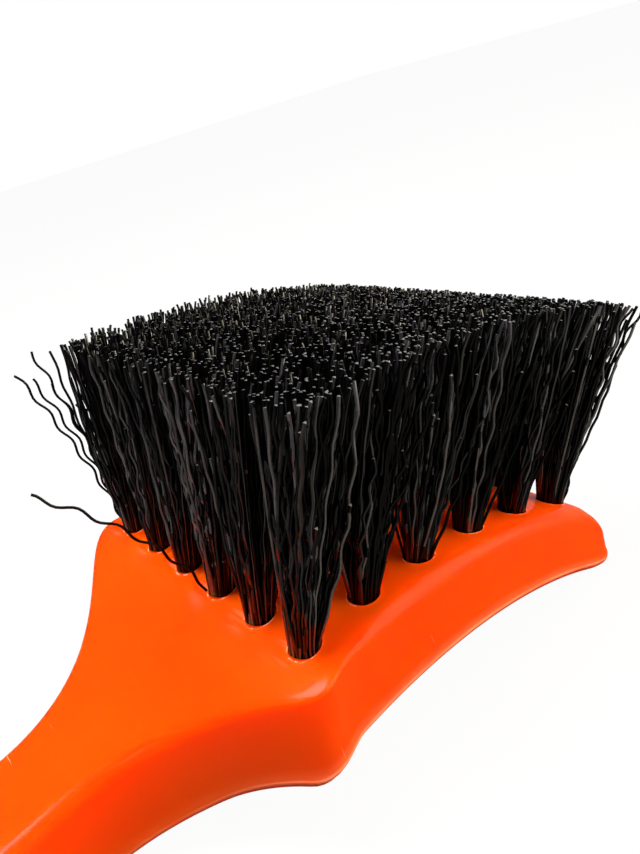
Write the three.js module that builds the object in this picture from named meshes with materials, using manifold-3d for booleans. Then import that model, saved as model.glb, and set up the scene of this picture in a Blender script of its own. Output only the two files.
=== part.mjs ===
// Tire brush: a moulded handle and head in one piece, with staple-set crimped bristle tufts.
// Units are millimetres. The head is laid out in its own frame: the origin is the middle of the
// crowned face, +Y runs to the toe, the handle runs to -Y and the bristles stand along +Z.
// The finished brush is then tilted so that the grip and the toe lip lie on z = 0.
import * as THREE from 'three';
import { mergeVertices } from 'three/addons/utils/BufferGeometryUtils.js';
import Module from 'manifold-3d';

const wasm = await Module();
wasm.setup();

// Clearance between separate pieces
const CLEARANCE = 0.3;

// Tuft field
const TUFT_COLUMNS = 6;
const TUFT_ROWS = 6;
const COLUMN_PITCH = 10;
const ROW_PITCH = 10.75;
const HOLE_DIAMETER = 4.6;
const HOLE_FLOOR = 3.3;
const HOLE_SIDES = 9;

// Bristles
const TRIM_LENGTH = 32;
const TRIM_RADIUS = 178;
const TIP_SPREAD_ACROSS = 1;
const TIP_SPREAD_ALONG = 0.4;
const TOEWARD_LEAN = 3.95;
const STRANDS_PER_SIDE = 3;
const STRAND_RADIUS = 0.6;
const STRAND_SIDES = 3;
const CRIMP_DEPTH = 0.6;
const ROOT_SIDES = 6;
const FOLD_THICKNESS = 0.8;
const SLICE_THICKNESS = 1.2;
const SLICE_RIM = 0.4;

// Anchor staples
const ANCHOR_HEIGHT = 1.6;
const ANCHOR_THICKNESS = 0.5;
const ANCHOR_BITE = 0.5;

// Head
const CROWN_RADIUS = 90;
const BACK_RADIUS = 87.5;
const BACK_SHIFT = 2;
const HEAD_THICKNESS = 11.5;
const EDGE_LAND = 5;
const HEEL_EAR = 1.2;
const EAR_LENGTH = 5;
const EAR_DIP = 1.6;
const EAR_SLOPE = 0;
const SIDE_DRAFT = 1.7;
const EAR_DRAFT = 1;
const HEAD_TOP_FILLET = 3.1;
const EAR_TOP_FILLET = 0.85;
const EDGE_BLEND = 16;
const PARTING_FILLET = 1.2;
const TOE_LAND = 10.8;
const TOE_DROP = 14.9;
const TOE_SLOPE = 1.84;
const TOE_CORNER = 4.8;
const TOE_TAPER = 0.75;
const TOE_TAPER_LENGTH = 9;
const TOE_TAPER_SLOPE = 0.13;
const LIP_THICKNESS = 1.7;

// Neck, from the heel of the head down to the grip
const HEEL_LAND = 5.65;
const SHOULDER_LENGTH = 9;
const SHOULDER_DROP = 12.9;
const SHOULDER_SLOPE = 0.73;
const SHOULDER_BACK_SLOPE = 0.955;
const NECK_THICKNESS = 12.7;
const NECK_LENGTH = 38;
const NECK_HALF_WIDTH = 9.95;
const NECK_TOP_FILLET = 2.4;
const NECK_WAIST = 18;
const FLARE_HALF_WIDTH = 21.7;
const FLARE_SLOPE = 1.35;
const FLARE_LENGTH = 10;

// Grip
const REST_TILT_DEGREES = 11.7;
const GRIP_LENGTH = 105;
const GRIP_NECK_HEIGHT = 13.4;
const PALM_HEIGHT = 17;
const PALM_HALF_WIDTH = 14.5;
const BUTT_HALF_WIDTH = 12.5;
const BUTT_HEIGHT = 13;
const BUTT_EDGE = 5;
const GRIP_FILLET = 6.5;
const HANG_HOLE_DIAMETER = 9;
const HANG_HOLE_SIDES = 20;
const REST_CUT = 0.4;

// How finely the moulded body is cut up
const FILLET_STEPS = 4;
const BODY_STEP = 3.4;
const EAR_STEP = 1.2;
const END_STEPS = 6;
const END_REACH = 0.9;
const ROUND_SHARE_OF_HEIGHT = 0.48;
const ROUND_SHARE_OF_WIDTH = 0.9;
const DRAFT_SHARE_OF_WIDTH = 0.1;

// Finishes
const ORANGE = new THREE.MeshStandardMaterial({ color: 0xff5a0a, roughness: 0.3, metalness: 0 });
const BLACK = new THREE.MeshStandardMaterial({ color: 0x0b0b0c, roughness: 0.42, metalness: 0 });
const BRASS = new THREE.MeshStandardMaterial({ color: 0xb9975b, roughness: 0.35, metalness: 1 });

// Sizes that follow from the driving ones
const UP = new THREE.Vector3(0, 0, 1);
const HOLE_RADIUS = HOLE_DIAMETER / 2;
const HOLE_DEPTH = HEAD_THICKNESS - HOLE_FLOOR;
const FIELD_HALF_WIDTH = (TUFT_COLUMNS - 1) / 2 * COLUMN_PITCH;
const FIELD_HALF_ARC = (TUFT_ROWS - 1) / 2 * ROW_PITCH;
const FIELD_HALF_LENGTH = CROWN_RADIUS * Math.sin(FIELD_HALF_ARC / CROWN_RADIUS);
const FIELD_RIM = HOLE_RADIUS + SLICE_RIM;
const HEAD_HALF_WIDTH = FIELD_HALF_WIDTH + HOLE_RADIUS + EDGE_LAND;
const REST_TILT = THREE.MathUtils.degToRad(REST_TILT_DEGREES);
const REST_SLOPE = Math.tan(REST_TILT);

// Stations along the brush
const TOE_Y = FIELD_HALF_LENGTH + TOE_LAND;
const TOE_ROLL_Y = FIELD_HALF_LENGTH + HOLE_RADIUS / 2;
const HEEL_Y = -FIELD_HALF_LENGTH - HEEL_LAND;
const EAR_Y = -FIELD_HALF_LENGTH - HOLE_RADIUS;
const SHOULDER_Y = HEEL_Y - SHOULDER_LENGTH;
const GRIP_Y = SHOULDER_Y - NECK_LENGTH;
const BUTT_Y = GRIP_Y - GRIP_LENGTH;
const PALM_Y = (GRIP_Y + BUTT_Y) / 2;
const HANG_Y = BUTT_Y + BUTT_HALF_WIDTH;
const CUTTER_SIZE = 2 * (TOE_Y - BUTT_Y);

const numbers = (from, to) => Array.from({ length: to - from }, (_, i) => from + i);

// A smooth profile through stations of place, value and slope, listed from the butt to the toe
function profile(stations) {
  return (y) => {
    let next = stations.findIndex(([place]) => place >= y);
    next = next < 0 ? stations.length - 1 : Math.max(next, 1);
    const [y0, v0, slope0] = stations[next - 1];
    const [y1, v1, slope1] = stations[next];
    const span = y1 - y0;
    const t = THREE.MathUtils.clamp((y - y0) / span, 0, 1);
    const blend = t * t * (3 - 2 * t);
    const rise = span * t * (1 - t) * (slope0 * (1 - t) - slope1 * t);
    return v0 + (v1 - v0) * blend + rise;
  };
}

// Fall and slope of an arc away from its highest point
const arcFall = (radius, y) => Math.sqrt(radius * radius - y * y) - radius;
const arcSlope = (radius, y) => -y / Math.sqrt(radius * radius - y * y);
const crownHeight = (y) => arcFall(CROWN_RADIUS, y);
const archHeight = (y) => arcFall(BACK_RADIUS, y - BACK_SHIFT) - HEAD_THICKNESS;
const archSlope = (y) => arcSlope(BACK_RADIUS, y - BACK_SHIFT);
const trimHeight = (y) => arcFall(TRIM_RADIUS, y) + TRIM_LENGTH;

// The plane that the brush rests on, seen in the head's frame
const LIP_Y = TOE_Y - PARTING_FILLET;
const LIP_BOTTOM = -TOE_DROP - LIP_THICKNESS;
const restHeight = (y) => LIP_BOTTOM + REST_CUT + (y - LIP_Y) * REST_SLOPE;

// Side view of the top: butt, palm, neck, shoulder, crown and the rolled toe
const topOfNeck = profile([
  [BUTT_Y, restHeight(BUTT_Y) + BUTT_HEIGHT, REST_SLOPE],
  [PALM_Y, restHeight(PALM_Y) + PALM_HEIGHT, REST_SLOPE],
  [GRIP_Y, restHeight(GRIP_Y) + GRIP_NECK_HEIGHT, REST_SLOPE],
  [SHOULDER_Y, -SHOULDER_DROP, SHOULDER_SLOPE],
  [HEEL_Y, crownHeight(HEEL_Y), arcSlope(CROWN_RADIUS, HEEL_Y)],
]);
const topOfToe = profile([
  [TOE_ROLL_Y, crownHeight(TOE_ROLL_Y), arcSlope(CROWN_RADIUS, TOE_ROLL_Y)],
  [TOE_Y, -TOE_DROP, -TOE_SLOPE],
]);

// Distance that the butt's upper and lower edges are rounded back
function buttRound(y) {
  const reach = Math.max(BUTT_EDGE - (y - BUTT_Y), 0);
  return BUTT_EDGE - Math.sqrt(Math.max(BUTT_EDGE * BUTT_EDGE - reach * reach, 0));
}

function topHeight(y) {
  if (y > TOE_ROLL_Y) return topOfToe(y);
  if (y > HEEL_Y) return crownHeight(y);
  return topOfNeck(y) - buttRound(y);
}

// Side view of the back: level grip, neck, hollow arch under the head and the toe lip
const backOfNeck = profile([
  [BUTT_Y, restHeight(BUTT_Y) - REST_CUT, REST_SLOPE],
  [GRIP_Y, restHeight(GRIP_Y) - REST_CUT, REST_SLOPE],
  [SHOULDER_Y, -SHOULDER_DROP - NECK_THICKNESS, SHOULDER_BACK_SLOPE],
  [HEEL_Y, archHeight(EAR_Y) - EAR_DIP, EAR_SLOPE],
  [EAR_Y, archHeight(EAR_Y), archSlope(EAR_Y)],
]);
const backOfToe = profile([
  [TOE_ROLL_Y, archHeight(TOE_ROLL_Y), archSlope(TOE_ROLL_Y)],
  [LIP_Y, LIP_BOTTOM, 0],
  [TOE_Y, -TOE_DROP - LIP_THICKNESS / 2, 1],
]);

function backHeight(y) {
  if (y > TOE_ROLL_Y) return backOfToe(y);
  if (y > EAR_Y) return archHeight(y);
  return backOfNeck(y) + buttRound(y);
}

// Plan view: half the width at the parting line
const EAR_HALF_WIDTH = HEAD_HALF_WIDTH + HEEL_EAR;
const sideOfBrush = profile([
  [HANG_Y, BUTT_HALF_WIDTH, 0],
  [PALM_Y, PALM_HALF_WIDTH, 0],
  [SHOULDER_Y - NECK_WAIST, NECK_HALF_WIDTH, 0],
  [EAR_Y - FLARE_LENGTH, FLARE_HALF_WIDTH, FLARE_SLOPE],
  [EAR_Y, EAR_HALF_WIDTH, 0],
  [EAR_Y + EAR_LENGTH, HEAD_HALF_WIDTH, 0],
  [TOE_Y - TOE_TAPER_LENGTH, HEAD_HALF_WIDTH, 0],
  [TOE_Y, HEAD_HALF_WIDTH - TOE_TAPER, -TOE_TAPER_SLOPE],
]);

function halfWidth(y) {
  const buttReach = Math.max(HANG_Y - y, 0);
  const toeReach = Math.max(y - (TOE_Y - TOE_CORNER), 0);
  const butt = Math.sqrt(Math.max(BUTT_HALF_WIDTH ** 2 - buttReach ** 2, 0));
  const corner = TOE_CORNER - Math.sqrt(Math.max(TOE_CORNER ** 2 - toeReach ** 2, 0));
  return sideOfBrush(y) - (BUTT_HALF_WIDTH - butt) - corner;
}

// Edge rounding and side draft change from the soft grip to the crisp ears and the head
const GRIP_START_Y = SHOULDER_Y - NECK_WAIST / 2;
const topFillet = profile([
  [PALM_Y, GRIP_FILLET, 0],
  [GRIP_START_Y, NECK_TOP_FILLET, 0],
  [EAR_Y, EAR_TOP_FILLET, 0],
  [EAR_Y + EDGE_BLEND, HEAD_TOP_FILLET, 0],
]);
const backFillet = profile([[GRIP_Y, GRIP_FILLET, 0], [GRIP_START_Y, PARTING_FILLET, 0]]);
const sideDraft = profile([
  [PALM_Y, 0, 0],
  [GRIP_START_Y, SIDE_DRAFT, 0],
  [EAR_Y, EAR_DRAFT, 0],
  [EAR_Y + EDGE_BLEND, SIDE_DRAFT, 0],
]);

// One ring of the body: a drafted section with rounded upper and lower edges
function bodyRing(y) {
  const half = halfWidth(y);
  const top = topHeight(y);
  const back = backHeight(y);
  const most = Math.min((top - back) * ROUND_SHARE_OF_HEIGHT, half * ROUND_SHARE_OF_WIDTH);
  const upper = Math.min(topFillet(y), most);
  const lower = Math.min(backFillet(y), most);
  const shoulder = half - Math.min(sideDraft(y), half * DRAFT_SHARE_OF_WIDTH, top - back);
  const right = [];
  for (let i = 0; i <= FILLET_STEPS; i += 1) {
    const angle = Math.PI / 2 * (1 - i / FILLET_STEPS);
    right.push([shoulder - upper + upper * Math.cos(angle), top - upper + upper * Math.sin(angle)]);
  }
  for (let i = 0; i <= FILLET_STEPS; i += 1) {
    const angle = -Math.PI / 2 * i / FILLET_STEPS;
    right.push([half - lower + lower * Math.cos(angle), back + lower + lower * Math.sin(angle)]);
  }
  const left = right.map(([x, z]) => [-x, z]).reverse();
  return [[0, top], ...right, [0, back], ...left].map(([x, z]) => new THREE.Vector3(x, y, z));
}

// Stations of the rings: even along the body, closer where the ends round off
function bodyStations() {
  const stations = [];
  for (let i = 0; i < END_STEPS; i += 1) {
    const bend = Math.PI / 2 * END_REACH * (1 - i / END_STEPS);
    stations.push(HANG_Y - BUTT_HALF_WIDTH * Math.sin(bend));
  }
  const stretches = [
    [HANG_Y, EAR_Y - FLARE_LENGTH, BODY_STEP],
    [EAR_Y - FLARE_LENGTH, EAR_Y + EAR_LENGTH, EAR_STEP],
    [EAR_Y + EAR_LENGTH, TOE_Y - TOE_CORNER, BODY_STEP],
  ];
  for (const [from, to, step] of stretches) {
    const count = Math.round((to - from) / step);
    for (let i = 0; i < count; i += 1) stations.push(from + (to - from) * i / count);
  }
  for (let i = 0; i <= END_STEPS; i += 1) {
    const bend = Math.PI / 2 * END_REACH * i / END_STEPS;
    stations.push(TOE_Y - TOE_CORNER + TOE_CORNER * Math.sin(bend));
  }
  return stations;
}

// A closed skin through equal rings, with both ends capped
function loft(rings) {
  const sides = rings[0].length;
  const last = (rings.length - 1) * sides;
  const index = [];
  for (let i = 0; i < rings.length - 1; i += 1) {
    for (let j = 0; j < sides; j += 1) {
      const a = i * sides + j;
      const b = i * sides + (j + 1) % sides;
      index.push(a, b, b + sides, a, b + sides, a + sides);
    }
  }
  for (let j = 1; j < sides - 1; j += 1) {
    index.push(0, j + 1, j, last, last + j, last + j + 1);
  }
  const geometry = new THREE.BufferGeometry().setFromPoints(rings.flat());
  return geometry.setIndex(index);
}

// Closed geometry to a solid for joining and cutting, and back again
function toSolid(geometry) {
  const bare = geometry.clone();
  bare.deleteAttribute('normal');
  bare.deleteAttribute('uv');
  const merged = mergeVertices(bare);
  return new wasm.Manifold(new wasm.Mesh({
    numProp: 3,
    vertProperties: new Float32Array(merged.attributes.position.array),
    triVerts: new Uint32Array(merged.index.array),
  }));
}

function toGeometry(solid) {
  const mesh = solid.getMesh();
  const geometry = new THREE.BufferGeometry();
  geometry.setAttribute('position', new THREE.BufferAttribute(mesh.vertProperties, 3));
  geometry.setIndex(new THREE.BufferAttribute(mesh.triVerts, 1));
  geometry.computeVertexNormals();
  return geometry;
}

// Each tuft's place on the crown, and the lean of its hole towards the middle of its tips
function tuftFrame(column, row) {
  const across = column - (TUFT_COLUMNS - 1) / 2;
  const along = row - (TUFT_ROWS - 1) / 2;
  const y = CROWN_RADIUS * Math.sin(along * ROW_PITCH / CROWN_RADIUS);
  const foot = new THREE.Vector3(across * COLUMN_PITCH, y, crownHeight(y));
  const lean = new THREE.Vector3(across * TIP_SPREAD_ACROSS, along * TIP_SPREAD_ALONG, TRIM_LENGTH);
  const turn = new THREE.Quaternion().setFromUnitVectors(UP, lean.clone().normalize());
  const matrix = new THREE.Matrix4().compose(foot, turn, new THREE.Vector3(1, 1, 1));
  const onRim = [0, TUFT_COLUMNS - 1].includes(column) || [0, TUFT_ROWS - 1].includes(row);
  return { foot, lean, turn, matrix, onRim };
}

// An upright prism between two heights of a tuft's own frame, with a flat towards +X
function tuftPrism(frame, radius, sides, low, high) {
  const corner = (k) => 2 * Math.PI * (k + 0.5) / sides;
  const rings = [low, high].map((z) => numbers(0, sides).map((k) => new THREE.Vector3(
    radius * Math.cos(corner(k)), radius * Math.sin(corner(k)), z)));
  return toSolid(loft(rings).applyMatrix4(frame.matrix));
}

// The anchor's place in a tuft's frame, and its outline grown by a clearance on every side
const ANCHOR_LENGTH = HOLE_DIAMETER + 2 * ANCHOR_BITE;
const ROOT_FLOOR = -HOLE_DEPTH + CLEARANCE;
const ANCHOR_MIDDLE = ROOT_FLOOR + FOLD_THICKNESS + CLEARANCE + ANCHOR_HEIGHT / 2;

function anchorBox(grow) {
  return new THREE.BoxGeometry(
    ANCHOR_LENGTH + 2 * grow,
    ANCHOR_THICKNESS + 2 * grow,
    ANCHOR_HEIGHT + 2 * grow,
  );
}

function anchorCut(frame) {
  return toSolid(anchorBox(CLEARANCE).translate(0, 0, ANCHOR_MIDDLE).applyMatrix4(frame.matrix));
}

// A band of the crowned face between two radii, over a stretch of arc and of width
function crownBand(outer, inner, arcs, [xFrom, xTo]) {
  const rings = arcs.map((arc) => {
    const angle = arc / CROWN_RADIUS;
    const place = (x, radius) => new THREE.Vector3(
      x, radius * Math.sin(angle), radius * Math.cos(angle) - CROWN_RADIUS);
    return [place(xFrom, outer), place(xTo, outer), place(xTo, inner), place(xFrom, inner)];
  });
  return toSolid(loft(rings));
}

// Edges of the flats under some of the rows or columns: the field's rim and the midlines
function flatEdges(list, pitch, count, rim, gap) {
  const place = (i) => (i - (count - 1) / 2) * pitch;
  const first = list[0];
  const last = list[list.length - 1];
  const low = first === 0 ? place(first) - rim : place(first - 0.5) + gap;
  const high = last === count - 1 ? place(last) + rim : place(last + 0.5) - gap;
  return [low, ...list.slice(1).map((i) => place(i - 0.5)), high];
}

// One crimped strand from its foot on the crown to its place among the tips
function strand(frame, u, v) {
  const reach = (STRANDS_PER_SIDE - 1) / 2;
  const footPitch = (HOLE_RADIUS - STRAND_RADIUS) / Math.SQRT2 / reach;
  const tipAcross = (COLUMN_PITCH + TIP_SPREAD_ACROSS) / STRANDS_PER_SIDE;
  const tipAlong = (ROW_PITCH + TIP_SPREAD_ALONG) / STRANDS_PER_SIDE;
  const openSides = [Math.abs(u) === reach, Math.abs(v) === reach, frame.onRim];
  const steps = Math.max(openSides.filter(Boolean).length, 1);
  const foot = frame.foot.clone().add(new THREE.Vector3(u * footPitch, v * footPitch, 0));
  foot.z = crownHeight(foot.y) - SLICE_THICKNESS / 2;
  const tip = frame.foot.clone().add(frame.lean).add(
    new THREE.Vector3(u * tipAcross, v * tipAlong + TOEWARD_LEAN, 0));
  tip.z = trimHeight(tip.y);
  const rings = [];
  for (let i = 0; i <= steps; i += 1) {
    const middle = foot.clone().lerp(tip, i / steps);
    const bend = i === 0 || i === steps ? 0 : CRIMP_DEPTH * (i % 2 ? 1 : -1);
    rings.push(numbers(0, STRAND_SIDES).map((k) => {
      const angle = 2 * Math.PI * k / STRAND_SIDES;
      return new THREE.Vector3(
        middle.x + bend + STRAND_RADIUS * Math.cos(angle),
        middle.y + STRAND_RADIUS * Math.sin(angle),
        middle.z);
    }));
  }
  return toSolid(loft(rings));
}

// A tuft's folded root, with the window that its anchor passes through
function tuftRoot(frame) {
  const root = tuftPrism(
    frame, HOLE_RADIUS - CLEARANCE, ROOT_SIDES, ROOT_FLOOR, -SLICE_THICKNESS / 2);
  return root.subtract(anchorCut(frame));
}

// A quarter of the bristles: its tufts and roots on a thin slice of the crowned face
function bristleQuarter(columns, rows) {
  const arcs = flatEdges(rows, ROW_PITCH, TUFT_ROWS, FIELD_RIM, CLEARANCE / 2);
  const across = flatEdges(columns, COLUMN_PITCH, TUFT_COLUMNS, FIELD_RIM, CLEARANCE / 2);
  const inner = CROWN_RADIUS - SLICE_THICKNESS;
  let quarter = crownBand(CROWN_RADIUS, inner, arcs, [across[0], across.at(-1)]);
  const reach = (STRANDS_PER_SIDE - 1) / 2;
  for (const column of columns) {
    for (const row of rows) {
      const frame = tuftFrame(column, row);
      quarter = quarter.add(tuftRoot(frame));
      for (let u = -reach; u <= reach; u += 1) {
        for (let v = -reach; v <= reach; v += 1) quarter = quarter.add(strand(frame, u, v));
      }
    }
  }
  return toGeometry(quarter);
}

// The moulded handle and head, with the tuft holes, the slices' seat and the hang hole
function handleGeometry() {
  let body = toSolid(loft(bodyStations().map(bodyRing)));
  const seatHalf = FIELD_HALF_WIDTH + FIELD_RIM + CLEARANCE;
  const seatFloor = CROWN_RADIUS - SLICE_THICKNESS - CLEARANCE;
  const seatTop = CROWN_RADIUS + SLICE_THICKNESS;
  const rows = numbers(0, TUFT_ROWS);
  const seatArcs = flatEdges(rows, ROW_PITCH, TUFT_ROWS, FIELD_RIM + CLEARANCE, 0);
  body = body.subtract(crownBand(seatTop, seatFloor, seatArcs, [-seatHalf, seatHalf]));
  for (let column = 0; column < TUFT_COLUMNS; column += 1) {
    for (let row = 0; row < TUFT_ROWS; row += 1) {
      const frame = tuftFrame(column, row);
      body = body.subtract(tuftPrism(frame, HOLE_RADIUS, HOLE_SIDES, -HOLE_DEPTH, 0));
      body = body.subtract(anchorCut(frame));
    }
  }
  return toGeometry(body.subtract(hangHole()).subtract(restCut()));
}

// The hole near the butt, square to the grip
function hangHole() {
  const radius = HANG_HOLE_DIAMETER / 2;
  const hole = new THREE.CylinderGeometry(radius, radius, CUTTER_SIZE, HANG_HOLE_SIDES);
  hole.rotateX(Math.PI / 2 + REST_TILT);
  return toSolid(hole.translate(0, HANG_Y, restHeight(HANG_Y) + BUTT_HEIGHT / 2));
}

// Everything below the resting plane, which leaves flats on the grip and on the toe lip
function restCut() {
  const block = new THREE.BoxGeometry(CUTTER_SIZE, CUTTER_SIZE, CUTTER_SIZE);
  block.translate(0, 0, -CUTTER_SIZE / 2).rotateX(REST_TILT);
  return toSolid(block.translate(0, PALM_Y, restHeight(PALM_Y)));
}

function named(name, geometry, material) {
  const mesh = new THREE.Mesh(geometry, material);
  mesh.name = name;
  return mesh;
}

function anchor(column, row) {
  const frame = tuftFrame(column, row);
  const mesh = named(`anchor_r${row + 1}_c${column + 1}`, anchorBox(0), BRASS);
  mesh.quaternion.copy(frame.turn);
  mesh.position.set(0, 0, ANCHOR_MIDDLE).applyMatrix4(frame.matrix);
  return mesh;
}

// The whole brush, turned so that the grip lies level with its flat at the origin
const HALF_COLUMNS = Math.ceil(TUFT_COLUMNS / 2);
const HALF_ROWS = Math.ceil(TUFT_ROWS / 2);
const SIDES = { left: numbers(0, HALF_COLUMNS), right: numbers(HALF_COLUMNS, TUFT_COLUMNS) };
const ENDS = { heel: numbers(0, HALF_ROWS), toe: numbers(HALF_ROWS, TUFT_ROWS) };

const head = new THREE.Group();
head.add(named('handle', handleGeometry(), ORANGE));
for (const [end, rows] of Object.entries(ENDS)) {
  for (const [side, columns] of Object.entries(SIDES)) {
    head.add(named(`bristles_${end}_${side}`, bristleQuarter(columns, rows), BLACK));
  }
}
for (let row = 0; row < TUFT_ROWS; row += 1) {
  for (let column = 0; column < TUFT_COLUMNS; column += 1) head.add(anchor(column, row));
}
head.position.set(0, -PALM_Y, -restHeight(PALM_Y));

const brush = new THREE.Group();
brush.add(head);
brush.rotation.x = -REST_TILT;

export default brush;
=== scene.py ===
"""Dresses the tire brush: the moulded handle, its crimped bristles, the anchors and the stage."""

import math
from functools import partialmethod, reduce
from itertools import product

import bmesh
import bpy
import numpy as np
from bpy.props import FloatProperty, FloatVectorProperty, IntProperty, PointerProperty
from bpy.types import Operator, Panel, PropertyGroup
from mathutils import Matrix, Vector


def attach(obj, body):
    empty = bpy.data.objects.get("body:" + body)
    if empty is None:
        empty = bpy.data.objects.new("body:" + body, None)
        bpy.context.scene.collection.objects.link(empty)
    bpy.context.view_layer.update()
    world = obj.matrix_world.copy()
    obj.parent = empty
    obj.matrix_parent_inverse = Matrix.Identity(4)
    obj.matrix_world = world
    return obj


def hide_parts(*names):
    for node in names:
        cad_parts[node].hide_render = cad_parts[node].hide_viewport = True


bl_info = {
    "name": "Tire Brush",
    "version": (1, 0, 0),
    "blender": (4, 5, 0),
    "location": "View3D > Sidebar > Brush",
    "description": "Moulded tire brush with staple-set tufts of crimped filament",
    "category": "Add Mesh",
}

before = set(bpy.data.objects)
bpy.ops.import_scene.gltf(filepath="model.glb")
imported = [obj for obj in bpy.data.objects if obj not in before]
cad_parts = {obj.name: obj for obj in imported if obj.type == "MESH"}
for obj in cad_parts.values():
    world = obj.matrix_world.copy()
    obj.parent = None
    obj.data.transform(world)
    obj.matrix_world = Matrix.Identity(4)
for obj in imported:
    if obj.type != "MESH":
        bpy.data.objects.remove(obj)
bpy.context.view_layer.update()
MM = 0.001

# Tuft plan, in the head's own frame: origin in the middle of the crowned face, +Y to the toe
COLUMNS = 6
ROWS = 6
COLUMN_PITCH = 10 * MM
ROW_PITCH = 10.75 * MM
QUARTERS = {
    "heel_left": (range(0, 3), range(0, 3)),
    "heel_right": (range(3, 6), range(0, 3)),
    "toe_left": (range(0, 3), range(3, 6)),
    "toe_right": (range(3, 6), range(3, 6)),
}

# Strands that stand away from their tufts: group, column, row, tip and rise in millimetres
STRAYS = (
    ("heel_right", 3, 0, (-6.7, -46.6, 15.0), 4.5),
    ("heel_left", 0, 0, (-34.0, -38.0, 26.0), 4),
    ("heel_left", 0, 0, (-33.3, -34.8, 29.3), 5),
    ("heel_left", 0, 0, (-33.7, -35.7, 24.6), 5),
    ("heel_left", 0, 0, (-33.1, -32.9, 23.2), 6),
    ("toe_right", 5, 5, (32.0, 37.4, 27.4), 4),
    ("toe_right", 5, 5, (33.2, 38.8, 27.4), 5),
    ("toe_right", 4, 5, (26.0, 38.5, 26.4), 4),
)

# Stations along the brush, in the head's frame
HEEL_Y = -32.1275 * MM
EAR_Y = -28.7775 * MM
SHOULDER_Y = -41.1275 * MM
GRIP_Y = -79.1275 * MM
PALM_Y = -131.6275 * MM
BUTT_Y = -184.1275 * MM
HANG_Y = -171.6275 * MM
TOE_Y = 37.2775 * MM
TOE_CORNER = 5.2 * MM
TOE_ROLL_Y = 27.6275 * MM
LIP_Y = 36.0775 * MM
GRIP_START_Y = SHOULDER_Y - 9 * MM
FLARE_Y = EAR_Y - 12 * MM
FIELD_END_Y = 30.3 * MM
BUTT_RADIUS = 12.5 * MM

# Filaments: parts of a centre line, what makes a triangle look as wide as a circle, widening at
# the cut, steps that fill a square evenly, how the tips are scattered and splayed, and where
# stray strands leave their holes
SEGMENTS = 24
TRIANGLE_FILL = 1.15
TIP_SWELL = 0.35
EVEN_STEPS = (0.7548777, 0.5698403)
TIP_JITTER = 0.6 * MM
FLARE = 3 * MM
HEEL_CORNER_SPLAY = 1 * MM
STRAY_FOOT = 0.38

# Looks: how much light spreads in the plastic, where the lamps aim, the floor, where reflections
# see it white, and the camera's picture
SPREAD_WEIGHT = 0.85
LAMP_TARGET = Vector((0, 0.12, 0.03))
FLOOR_REACH = 3.0
FLOOR_PAPER = (0.15, 0.15, 0.15, 1)
FLOOR_GLOW = 1.17
GLOW_SHARE = 0.82
TOEWARD = (0.55, 0.835, 0)
WHITE_RANGE = (0.19, 0.25)
SENSOR_WIDTH = 36
FOCAL_PIXELS = 694.45
PICTURE_HEIGHT = 854

# The brush lies tilted, with its grip and its toe lip on the floor
REST_TILT = math.radians(11.7)
LIP_BOTTOM = -16.6 * MM
REST_CUT = 0.4 * MM


def rest_height(y):
    """Height of the resting plane under a place along the head's frame."""
    return LIP_BOTTOM + REST_CUT + (y - LIP_Y) * math.tan(REST_TILT)


HEAD_MATRIX = (Matrix.Rotation(-REST_TILT, 4, "X")
               @ Matrix.Translation((0, -PALM_Y, -rest_height(PALM_Y))))


# Settings

def length_setting(name, description, millimetres, **limits):
    return FloatProperty(
        name=name, description=description, default=millimetres * MM, unit="LENGTH", **limits)


def angle_setting(name, description, degrees):
    return FloatProperty(
        name=name, description=description, default=math.radians(degrees), subtype="ANGLE")


def power_setting(name, lamp, watts):
    return FloatProperty(name=name, description=f"Power of the {lamp} in watts", default=watts)


def colour_setting(name, description, default):
    return FloatVectorProperty(
        name=name, description=description, default=default, subtype="COLOR", size=3, min=0, max=1)


class BrushHandleSettings(PropertyGroup):
    """Sizes and colours of the moulded handle and head."""

    crown_radius: length_setting(
        "Crown Radius", "Radius of the drilled face along the brush", 90, min=60 * MM)
    back_radius: length_setting("Back Radius", "Radius of the arch under the head", 87.5, min=50 * MM)
    head_thickness: length_setting("Head Thickness", "Plastic between the crown and the arch", 11.5)
    head_half_width: length_setting(
        "Head Half Width", "Half the width of the head at the parting line", 32.3)
    hole_diameter: length_setting("Hole Diameter", "Width of each drilled tuft hole", 4.6)
    hole_depth: length_setting("Hole Depth", "Depth of each drilled tuft hole", 8.2)
    burr_height: length_setting(
        "Burr Height", "Rise of the rim that drilling leaves around each hole", 0.06)
    parting_bead: length_setting("Parting Bead", "How far the mould's parting line stands out", 0.22)
    hang_diameter: length_setting("Hang Hole", "Width of the hole near the butt", 9)
    plastic: colour_setting("Plastic", "Main colour of the moulding", (0.96, 0.064, 0.0004))
    # Also the colour of the painted light along the lower edge of the moulding
    pale_marks_and_painted_light: colour_setting(
        "Stressed Plastic", "Paler colour of rubbed, cut and stressed places", (1.0, 0.42, 0.26))


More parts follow.
